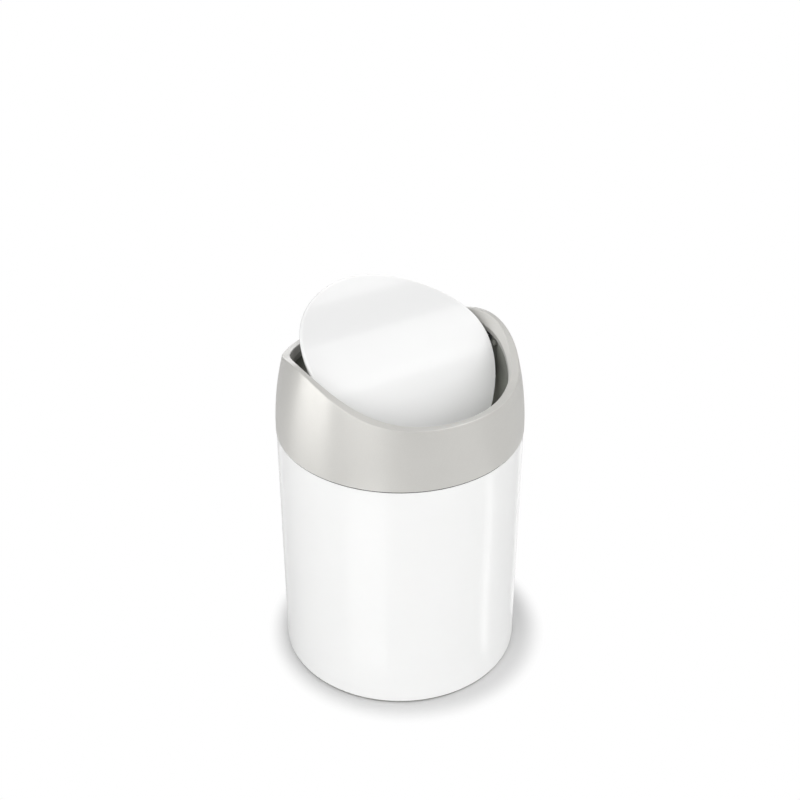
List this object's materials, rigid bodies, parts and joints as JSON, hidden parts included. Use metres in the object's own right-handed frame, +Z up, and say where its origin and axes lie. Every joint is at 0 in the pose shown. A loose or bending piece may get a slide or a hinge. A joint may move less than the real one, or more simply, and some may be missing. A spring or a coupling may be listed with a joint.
{
  "type": "countertop trash can with swing lid",
  "caption": "Round countertop waste can with a lift-off collar whose wavy rim carries a swing flap that a counterweight brings back to level.",
  "frame": {"origin": "centre of the can's base, on the surface that it stands on", "axes": "+X along the flap's pivot axis, -Y towards the front, where the stored flap dips, +Z up"},
  "size_m": [0.1246, 0.1246, 0.1928],
  "materials": {
    "white_paint": "gloss white powder coat on sheet steel",
    "flap_paint": "gloss white enamel on sheet steel",
    "pearl_plastic": "pearly satin warm light grey moulding",
    "dark_plastic": "matte mid grey-green moulding",
    "grey_plastic": "fine textured grey moulding",
    "bush_plastic": "smooth dark grey bearing plastic",
    "black_rubber": "matte black rubber",
    "grey_rubber": "matte rubber in the moulding's grey-green",
    "zinc_steel": "zinc-coated sheet",
    "screw_steel": "zinc-plated",
    "pin_steel": "ground and bright",
    "spring_steel": "dark oiled spring steel",
    "bar_steel": "plain rolled bar"
  },
  "bodies": {
    "can": {"body_tube": "white_paint", "bottom_pan": "zinc_steel", "base_ring": "dark_plastic", "foot_pads": "black_rubber"},
    "collar": {"seam_gasket": "black_rubber", "collar_shell": "pearl_plastic", "collar_sleeve": "dark_plastic", "collar_screws": "screw_steel", "bearing_left": "dark_plastic", "bearing_right": "dark_plastic", "bearing_screws": "screw_steel", "bush_left": "bush_plastic", "bush_right": "bush_plastic", "stop_bumpers": "grey_rubber"},
    "flap": {"flap_skin": "flap_paint", "flap_tray": "grey_plastic", "skin_studs": "screw_steel", "stud_nuts": "screw_steel", "pivot_pin_left": "pin_steel", "pivot_pin_right": "pin_steel", "pin_clips": "spring_steel", "counterweight": "bar_steel", "counterweight_screws": "screw_steel"}
  },
  "joints": [
    {"name": "collar_lift", "type": "slide", "parent": "can", "child": "collar", "axis": [0, 0, 1], "range_m": [0, 0.06]},
    {"name": "flap_swing", "type": "hinge", "parent": "collar", "child": "flap", "pos_m": [0, 0, 0.1674], "axis": [1, 0, 0], "range_deg": [-96.3, 23.7]}
  ]
}
